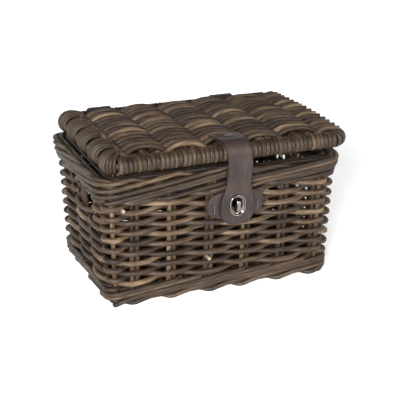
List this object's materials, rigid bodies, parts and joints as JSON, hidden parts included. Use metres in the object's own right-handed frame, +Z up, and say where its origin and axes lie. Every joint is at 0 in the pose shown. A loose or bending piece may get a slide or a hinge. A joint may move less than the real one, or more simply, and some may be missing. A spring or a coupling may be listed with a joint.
{
  "type": "lidded wicker basket",
  "caption": "Rectangular woven rattan basket with a hinged woven lid, hand holds in its ends and a leather strap that closes on a turn lock.",
  "frame": {"origin": "on the surface that the basket stands on, under the middle of the whole object", "axes": "+Z up, +X right along the width, -Y to the front, where the strap and lock are; the lid is hinged at +Y"},
  "size_m": [0.4, 0.2968, 0.249],
  "materials": {
    "rattan": "weathered",
    "split_cane": "satin",
    "strap_leather": "satin",
    "nickel": "polished",
    "steel_wire": "drawn"
  },
  "bodies": {
    "basket": {"foot_border": "rattan", "base_under_weave": "rattan", "base_sticks": "rattan", "base_upper_weave": "rattan", "corner_stakes": "rattan", "top_border": "rattan", "left_hinge_loop": "strap_leather", "right_hinge_loop": "strap_leather", "hinge_rivets": "nickel", "front_stakes": "rattan", "back_stakes": "rattan", "left_stakes": "rattan", "right_stakes": "rattan", "left_hand_hold_stakes": "rattan", "right_hand_hold_stakes": "rattan", "front_outer_weave": "rattan", "front_inner_weave": "rattan", "back_outer_weave": "rattan", "back_inner_weave": "rattan", "left_outer_weave": "rattan", "left_inner_weave": "rattan", "right_outer_weave": "rattan", "right_inner_weave": "rattan", "corner_outer_weave": "rattan", "corner_inner_weave": "rattan", "lock_back_plate": "nickel", "lock_patch": "strap_leather", "patch_stitches": "steel_wire", "lock_plate": "nickel"},
    "lid": {"lid_hoop": "rattan", "lid_front_winding": "split_cane", "lid_back_winding": "split_cane", "lid_left_winding": "split_cane", "lid_right_winding": "split_cane", "lid_ribs": "rattan", "lid_upper_weave": "rattan", "lid_lower_weave": "rattan", "strap_anchor": "strap_leather", "anchor_stitches": "steel_wire"},
    "strap_end": {"strap_flap": "strap_leather", "eyelet_ring": "nickel", "eyelet_washer": "nickel"},
    "turn_knob": {"lock_knob": "nickel"}
  },
  "joints": [
    {"name": "lid_hinge", "type": "hinge", "parent": "basket", "child": "lid", "pos_m": [0, 0.12715, 0.227], "axis": [-1, 0, 0], "range_deg": [0, 180]},
    {"name": "strap_flex", "type": "hinge", "parent": "lid", "child": "strap_end", "pos_m": [0.014, -0.13925, 0.227], "axis": [-1, 0, 0], "range_deg": [0, 100]},
    {"name": "knob_turn", "type": "hinge", "parent": "basket", "child": "turn_knob", "pos_m": [0.014, -0.14835, 0.149], "axis": [0, 1, 0], "range_deg": [0, 90]}
  ]
}
